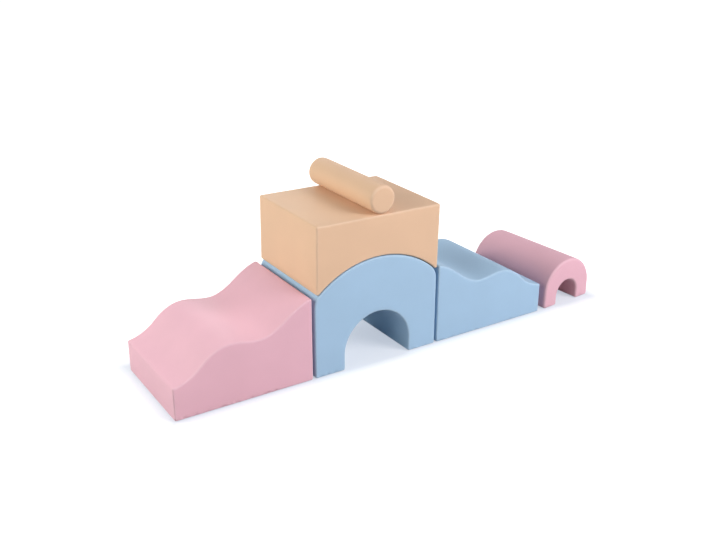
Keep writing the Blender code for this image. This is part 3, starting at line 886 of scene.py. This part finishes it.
def add_zipper(block, cover):
    """The tape, with its coil of teeth and two stops, and the stitches that hold it to the cover."""
    seat = zip_block(block)
    length = block.zip.length + 2 * TAPE_END
    xs = np.linspace(-length / 2, length / 2, math.ceil(length / BAND_SPACING) + 1)
    half = block.zip.width / 2
    profile = [
        (-half, -TAPE_DEPTH), (-CHAIN_WIDTH / 2, -TAPE_DEPTH), (-CLEARANCE, -TAPE_DEPTH + CLEARANCE / 2),
        (0, -TAPE_DEPTH - CLEARANCE / 2), (CLEARANCE, -TAPE_DEPTH + CLEARANCE / 2),
        (CHAIN_WIDTH / 2, -TAPE_DEPTH), (half, -TAPE_DEPTH)]
    points = [(x, y, z) for x in xs for z, y in profile]
    faces = turned(grid_faces(len(xs), len(profile)))
    finish = block.finish
    tape = new_piece(block.name + "_zipper", points, faces, seat, finish["tape"], finish["tape_slot"])
    thicken(tape, TAPE_THICKNESS)
    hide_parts(block.name + "_zipper")
    add_teeth(block, seat)
    add_stitches(block, seat, cover)


def add_teeth(block, seat):
    """Two rows of coil teeth that reach past the middle in turn, between two stops."""
    run = block.zip.length - 2 * STOP_LENGTH - 2 * CLEARANCE
    count = int(run / TOOTH_PITCH)
    width = CHAIN_WIDTH * TOOTH_SHARE
    tooth, tooth_faces = rounded_bar(TOOTH_LENGTH, width, -TAPE_DEPTH, CHAIN_PROUD, TOOTH_LENGTH / 2)
    stop, stop_faces = rounded_bar(STOP_LENGTH, STOP_WIDTH, -TAPE_DEPTH, CHAIN_PROUD, TOOTH_LENGTH / 2)
    parts = []
    for k in range(count):
        side = 1 if k % 2 else -1
        place = Vector(((k - (count - 1) / 2) * TOOTH_PITCH, 0, side * (CHAIN_WIDTH - width) / 2))
        parts.append(([place + v for v in tooth], tooth_faces))
    for side in (-1, 1):
        place = Vector((side * (block.zip.length / 2 - CLEARANCE - STOP_LENGTH / 2), 0, 0))
        parts.append(([place + v for v in stop], stop_faces))
    new_piece(block.name + "_zipper_teeth", *joined(parts), seat, block.finish["teeth"],
              block.finish["tape_slot"], smooth=False)


def add_stitches(block, seat, cover):
    """A line of stitches along each side of the slot, each laid on the cover where it is."""
    tree = BVHTree.FromPolygons(
        [cover.matrix_world @ v.co for v in cover.data.vertices], [p.vertices for p in cover.data.polygons])
    parts = []
    out = (seat.place.to_3x3() @ Vector((0, 1, 0))).normalized()
    count = int((block.zip.length + 2 * STITCH_MARGIN) / STITCH_PITCH)
    back = seat.place.inverted()
    for side in (-1, 1):
        z = side * (SLOT_WIDTH / 2 + STITCH_MARGIN)
        for k in range(count):
            x = (k - (count - 1) / 2) * STITCH_PITCH
            start = seat.place @ Vector((x, STITCH_START, z))
            hit = tree.ray_cast(start, -out)[0]
            if hit is not None:
                parts.append(stitch(back @ hit))
    finish = block.finish
    new_piece(block.name + "_stitches", *joined(parts), seat, finish["thread"], finish["tape_slot"])


def stitch(place):
    """A short thread along X that rises out of the leather and goes back in."""
    vertices = []
    for share, rise in STITCH_SHARES:
        radius = STITCH_RADIUS * (1 if rise > 0 else STITCH_END_SHARE)
        for k in range(STITCH_SIDES):
            turn = 2 * math.pi * k / STITCH_SIDES
            y = rise * STITCH_RADIUS + math.cos(turn) * radius
            vertices.append(place + Vector((share * STITCH_LENGTH, y, math.sin(turn) * radius)))
    numbers = tuple(range(len(vertices)))
    ends = [numbers[:STITCH_SIDES], numbers[-STITCH_SIDES:][::-1]]
    return vertices, grid_faces(len(STITCH_SHARES), STITCH_SIDES, closed=True) + ends


def finish_slider(block):
    """The slider is the solid model's own piece with eased edges and a metal finish."""
    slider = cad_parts[block.name + "_zipper_slider"]
    slider.data.materials.clear()
    slider.data.materials.append(METAL)
    ease = slider.modifiers.new("Eased edges", "BEVEL")
    ease.width = SLIDER_BEVEL
    ease.segments = SLIDER_BEVEL_STEPS
    ease.limit_method = "ANGLE"


# Materials

def feed(tree, shader, values):
    """Gives a node's inputs their values: numbers, colours or other nodes' sockets."""
    for key, value in values.items():
        if isinstance(value, bpy.types.NodeSocket):
            tree.links.new(value, shader.inputs[key])
        else:
            shader.inputs[key].default_value = value


def node(tree, kind, values=None, **settings):
    made = tree.nodes.new("ShaderNode" + kind)
    for name, value in settings.items():
        setattr(made, name, value)
    feed(tree, made, values or {})
    return made


def blank(name):
    """A new material, its nodes, its shader and the place on the object that its patterns follow."""
    made = bpy.data.materials.new(name)
    made.use_nodes = True
    tree = made.node_tree
    return made, tree, tree.nodes["Principled BSDF"], node(tree, "TexCoord").outputs["Object"]


def math_node(tree, operation, first, second=0.0):
    return node(tree, "Math", {0: first, 1: second}, operation=operation).outputs[0]


def ramp(tree, value, low, high, to_low, to_high):
    """Maps a value from one range to another, and holds it at the ends."""
    return node(tree, "MapRange", {
        "Value": value, "From Min": low, "From Max": high, "To Min": to_low, "To Max": to_high}).outputs[0]


def mix(tree, share, first, second):
    """Mixes two colours. A Mix node's colours are its inputs 6 and 7, and its mixed colour is output 2."""
    first, second = (((*value, 1.0) if isinstance(value, tuple) else value) for value in (first, second))
    return node(tree, "Mix", {0: share, 6: first, 7: second}, data_type="RGBA").outputs[2]


def noise_of(tree, place, size, detail=2.0):
    return node(tree, "TexNoise", {"Vector": place, "Scale": 1 / size, "Detail": detail}).outputs["Fac"]


def relief(tree, height, depth, strength, **settings):
    """The normal of a surface that a pattern raises and lowers."""
    values = {"Height": height, "Distance": depth, "Strength": strength}
    return node(tree, "Bump", values, **settings).outputs[0]


def shade(colour, factor):
    return tuple(min(part * factor, 1.0) for part in colour)


def leather(name, colour, deep):
    """Synthetic leather: a fine pebble grain with painted shade in its creases, slow changes of tone,
    painted shade with some dust in the seams, and a painted highlight along the rims, partly wear.
    """
    made, tree, shader, place = blank(name)
    bend = node(tree, "TexNoise", {"Vector": place, "Scale": 1 / GRAIN, "Detail": 1.0})
    bent = node(tree, "VectorMath", {0: bend.outputs["Color"], "Scale": GRAIN}, operation="SCALE")
    moved = node(tree, "VectorMath", {0: place, 1: bent.outputs[0]}, operation="ADD").outputs[0]
    pebble = node(tree, "TexVoronoi", {"Vector": moved, "Scale": 1 / GRAIN}, feature="DISTANCE_TO_EDGE")
    crease = ramp(tree, pebble.outputs["Distance"], 0.0, CREASE_WIDTH, 0.0, 1.0)
    pores = noise_of(tree, place, PORE)
    tone = noise_of(tree, place, PATCH)
    seam = node(tree, "Attribute", attribute_name="seam").outputs["Fac"]

    low, high = (shade(colour, factor) for factor in PATCH_FACTORS)
    base = mix(tree, ramp(tree, tone, *NOISE_SPAN, 0.0, 1.0), low, high)
    # Painted shade: the grain's creases are darker, towards the deep colour
    crease_shaded = mix(tree, ramp(tree, crease, 0.0, 1.0, CREASE_SHADE_SHARE, 0.0), base, deep)
    # Painted highlight along the rims, partly wear: paler towards white near the seams and hems
    pale = tuple(part + (1 - part) * RIM_HIGHLIGHT_WHITE_SHARE for part in colour)
    rim_highlight_and_wear = mix(tree, ramp(tree, seam, HEM_RADIUS, RIM_HIGHLIGHT_REACH, RIM_HIGHLIGHT_SHARE, 0.0), crease_shaded, pale)
    # Painted shade, with some dust: darker in the seam grooves and at the hems
    sewn = mix(tree, ramp(tree, seam, 0.0, HEM_RADIUS, SEAM_SHADE_SHARE, 0.0), rim_highlight_and_wear, deep)

    plain = ramp(tree, tone, *NOISE_SPAN, *LEATHER_ROUGHNESS)
    rough = math_node(tree, "ADD", plain, ramp(tree, crease, 0.0, 1.0, CREASE_ROUGHNESS, 0.0))
    height = math_node(tree, "ADD", crease, math_node(tree, "MULTIPLY", pores, PORE_SHARE))
    feed(tree, shader, {
        "Base Color": sewn,
        "Roughness": rough,
        "Normal": relief(tree, height, GRAIN_DEPTH, GRAIN_STRENGTH),
        "Specular IOR Level": LEATHER_SPECULAR,
        "Sheen Weight": LEATHER_SHEEN,
        "Sheen Roughness": LEATHER_SHEEN_ROUGHNESS})
    return made


def woven(name, colour, pitch, roughness=0.9):
    """Plain woven cloth: threads that go over and under in both directions, with painted shade between them
    and a painted highlight on their tops.
    """
    made, tree, shader, place = blank(name)
    parts = node(tree, "SeparateXYZ", {0: place}).outputs
    turn = 2 * math.pi / pitch
    ways = (parts[0], math_node(tree, "ADD", parts[1], parts[2]))
    threads = [math_node(tree, "SINE", math_node(tree, "MULTIPLY", way, turn)) for way in ways]
    weave = math_node(tree, "MULTIPLY", *threads)
    height = math_node(tree, "ADD", weave, noise_of(tree, place, pitch / FUZZ_PER_THREAD))
    # Painted shade and highlight: darker where the threads sink, lighter where they rise
    low, high = (shade(colour, factor) for factor in WEAVE_SHADE_AND_HIGHLIGHT_FACTORS)
    cloth = mix(tree, ramp(tree, height, -1.0, 2.0, 0.0, 1.0), low, high)
    feed(tree, shader, {
        "Base Color": cloth,
        "Roughness": roughness,
        "Normal": relief(tree, height, pitch / WEAVE_FLATNESS, WEAVE_STRENGTH),
        "Sheen Weight": WEAVE_SHEEN})
    return made


def foam_finish():
    """Cut foam: open cells of a few sizes, a little yellowed in patches, with painted shade where the cells
    sink in.
    """
    made, tree, shader, place = blank("open_cell_foam")
    cells = node(tree, "TexVoronoi", {"Vector": place, "Scale": 1 / FOAM_CELL}).outputs["Distance"]
    skin = mix(tree, noise_of(tree, place, PATCH), FOAM_WHITE, FOAM_YELLOW)
    # Painted shade: darker towards the cells' edges, where the relief sinks in
    pit_shaded = mix(tree, ramp(tree, cells, 0.0, FOAM_PIT_SHADE_WIDTH, 0.0, FOAM_PIT_SHADE_SHARE), skin, FOAM_PIT_SHADE)
    feed(tree, shader, {
        "Base Color": pit_shaded,
        "Roughness": FOAM_ROUGHNESS,
        "Normal": relief(tree, cells, FOAM_CELL / FOAM_FLATNESS, FOAM_STRENGTH, invert=True)})
    return made


def grained(name, colour, roughness, metallic, size, strength):
    """A plain moulded or cast finish with fine grain and slight changes of gloss."""
    made, tree, shader, place = blank(name)
    grain = noise_of(tree, place, size, detail=3.0)
    low, high = (shade(colour, factor) for factor in CAST_FACTORS)
    feed(tree, shader, {
        "Base Color": mix(tree, grain, low, high),
        "Roughness": ramp(tree, grain, *NOISE_SPAN, *(roughness * factor for factor in CAST_GLOSS_FACTORS)),
        "Normal": relief(tree, grain, size / CAST_FLATNESS, strength),
        "Metallic": metallic})
    return made


FOAM = foam_finish()
NON_SLIP = woven("non_slip_cloth", CLOTH_GREY, PANEL_WEAVE)
RUBBER = grained("stud_rubber", RUBBER_BLACK, roughness=0.55, metallic=0.0, size=0.0006, strength=0.3)
METAL = grained("slider_zinc", ZINC, roughness=0.32, metallic=1.0, size=0.0004, strength=0.15)


def finish_set(name, colour, deep):
    """The finishes of a colour's blocks, and the names of their slots."""
    coil = shade(colour, COIL_FACTOR)
    return {
        "cover": leather(name + "_leather", colour, deep),
        "tape": woven(name + "_tape", shade(colour, TAPE_FACTOR), TAPE_WEAVE),
        "teeth": grained(name + "_coil", coil, roughness=0.35, metallic=0.0, size=0.0005, strength=0.1),
        "thread": woven(name + "_thread", shade(colour, THREAD_FACTOR), THREAD_WEAVE, roughness=0.6),
        "slot": name + "_leather",
        "tape_slot": name + "_tape",
    }


# Blocks

def end_zip(x, depth, z, width=TAPE_WIDTH):
    """A zipper along an end wall at x, which faces away from the block's middle."""
    return Zip(depth - 2 * ZIPPER_END_MARGIN, width, Vector((x, 0, z)), -math.copysign(math.pi / 2, x))


def blocks():
    """The six blocks, each with its finishes, outline, place, zipper, base panels and seed."""
    pink = finish_set("pink", PINK, PINK_SHADE)
    blue = finish_set("blue", BLUE, BLUE_SHADE)
    peach = finish_set("peach", PEACH, PEACH_SHADE)
    wall_z = WALL_FOOT + ZIPPER_HEIGHT
    rear = Zip(RAMP_LENGTH - 2 * ZIPPER_END_MARGIN, TAPE_WIDTH, Vector((0, DEPTH / 2, wall_z)), 0)
    stand = {}
    for name in ("pink_ramp", "blue_ramp", "arch", "small_arch"):
        middle = box_middle(name + "_cover")
        stand[name] = Matrix.Translation((middle.x, middle.y, 0))
    crown_centre = Matrix.Translation((0, 0, CROWN_CENTRE))
    cap_place = stand["arch"] @ crown_centre @ Matrix.Rotation(CAP_TURN, 4, "Y")
    roll_middle = (ROLL_OFFSET, ROLL_SETBACK, CAP_TOP + CLEARANCE + ROLL_DIAMETER / 2)
    roll_place = cap_place @ Matrix.Translation(roll_middle) @ Matrix.Rotation(ROLL_TURN, 4, "Z")
    arch_zip = end_zip(-ARCH_LENGTH / 2, DEPTH, wall_z)
    cap_zip = end_zip(CAP_LENGTH / 2, DEPTH, cap_tip()[1] + ZIPPER_HEIGHT)
    roll_zip = end_zip(ROLL_DIAMETER / 2, ROLL_LENGTH, 0, ROLL_TAPE_WIDTH)
    small_place = stand["small_arch"] @ Matrix.Rotation(SMALL_ARCH_TURN, 4, "Z")
    small_zip = end_zip(SMALL_ARCH_LENGTH / 2, SMALL_ARCH_DEPTH, wall_z)
    arch_path = arch_outline(
        ARCH_LENGTH, ARCH_HEIGHT, CROWN_RADIUS, ARCH_SHOULDER_RADIUS, TUNNEL_WIDTH, TUNNEL_HEIGHT)
    small_path = arch_outline(
        SMALL_ARCH_LENGTH, SMALL_ARCH_HEIGHT, SMALL_ARCH_LENGTH / 2, SMALL_ARCH_CORNER_RADIUS,
        SMALL_TUNNEL_WIDTH, SMALL_TUNNEL_HEIGHT, SMALL_ARCH_CORNER_RADIUS)
    return [
        Block("pink_ramp", "pink_ramp", pink, ramp_outline(1), DEPTH, stand["pink_ramp"], rear,
              ["pink_ramp_base_panel"], seed=1.3),
        Block("blue_ramp", "blue_ramp", blue, ramp_outline(-1), DEPTH, stand["blue_ramp"], rear,
              ["blue_ramp_base_panel"], seed=2.7),
        Block("arch", "arch", blue, arch_path, DEPTH, stand["arch"], arch_zip,
              ["arch_left_foot_panel", "arch_right_foot_panel"], seed=3.9),
        Block("cap", "cap", peach, cap_outline(), DEPTH, cap_place, cap_zip,
              ["cap_saddle_panel"], seed=5.1),
        Block("roll", "roll", peach, roll_outline(), ROLL_LENGTH, roll_place, roll_zip,
              [], seed=6.4, rim=ROLL_RIM_RADIUS),
        Block("small_arch", "small_arch", pink, small_path, SMALL_ARCH_DEPTH, small_place, small_zip,
              ["small_arch_left_foot_panel", "small_arch_right_foot_panel"], seed=7.2,
              rim=SMALL_ARCH_RIM_RADIUS),
    ]


# Camera, floor and light

def add_camera():
    camera = bpy.data.cameras.new("camera")
    camera.lens = camera.sensor_width * FOCAL_PIXELS / PHOTO_WIDTH
    holder = added("camera", camera)
    middle = box_middle("arch_cover")
    turn = Matrix.Rotation(-CAMERA_YAW, 4, "Z") @ Matrix.Rotation(math.pi / 2 - CAMERA_PITCH, 4, "X")
    holder.matrix_world = Matrix.Translation(Vector((middle.x, middle.y, 0)) + CAMERA_PLACE) @ (
        turn @ Matrix.Rotation(CAMERA_ROLL, 4, "Z"))
    bpy.context.scene.camera = holder


def seen_directly(tree):
    """1 where the camera sees a surface, also mirrored or through glass, and 0 for its light on others."""
    path = node(tree, "LightPath").outputs
    mirrored = math_node(tree, "MAXIMUM", path["Is Glossy Ray"], path["Is Transmission Ray"])
    return math_node(tree, "MAXIMUM", path["Is Camera Ray"], mirrored)


def add_floor():
    """A wide pale floor that keeps the object's shadow and shows white everywhere else."""
    mesh = bpy.data.meshes.new("floor")
    reach = FLOOR_REACH
    corners = [(-reach, -reach, 0), (reach, -reach, 0), (reach, reach, 0), (-reach, reach, 0)]
    mesh.from_pydata(corners, [], [(0, 1, 2, 3)])
    floor = added("floor", mesh)
    floor.location.z = -FLOOR_DROP
    made, tree, shader, place = blank("floor")
    away = node(tree, "VectorMath", {0: place}, operation="ABSOLUTE").outputs[0]
    away = node(tree, "VectorMath", {0: away, 1: CAD_BOX[1]}, operation="SUBTRACT").outputs[0]
    away = node(tree, "VectorMath", {0: away, 1: (0, 0, 0)}, operation="MAXIMUM").outputs[0]
    distance = node(tree, "VectorMath", {0: away}, operation="LENGTH").outputs["Value"]
    away = ramp(tree, distance, *FLOOR_GLOW_REACH, 0.0, 1.0)
    glow = ramp(tree, away, 0.0, 1.0, FLOOR_GLOW, 1.0)
    feed(tree, shader, {
        "Base Color": (FLOOR_TONE, FLOOR_TONE, FLOOR_TONE, 1),
        "Roughness": FLOOR_ROUGHNESS,
        "Specular IOR Level": FLOOR_SPECULAR,
        "Emission Color": mix(tree, away, FLOOR_GLOW_COLOUR, WHITE),
        "Emission Strength": math_node(tree, "MULTIPLY", seen_directly(tree), glow)})
    mesh.materials.append(made)


def add_world():
    world = bpy.data.worlds.new("studio")
    world.use_nodes = True
    bpy.context.scene.world = world
    tree = world.node_tree
    feed(tree, tree.nodes["Background"], {"Color": mix(tree, seen_directly(tree), WORLD_LIGHT, WHITE)})


def add_lamp(name, place, size, power, colour):
    """A soft square lamp that points at the middle of the row."""
    lamp = bpy.data.lights.new(name, "AREA")
    lamp.size = size
    lamp.energy = power
    lamp.color = colour
    holder = added(name, lamp)
    holder.location = place
    holder.rotation_euler = (LIGHT_TARGET - Vector(place)).to_track_quat("-Z", "Y").to_euler()


bpy.context.scene.view_settings.view_transform = "Standard"
add_camera()
add_floor()
add_world()
for lamp in LAMPS:
    add_lamp(*lamp)
for block in blocks():
    cover, path = add_cover(block)
    add_foam(block)
    add_base_panels(block, path)
    add_zipper(block, cover)
    finish_slider(block)
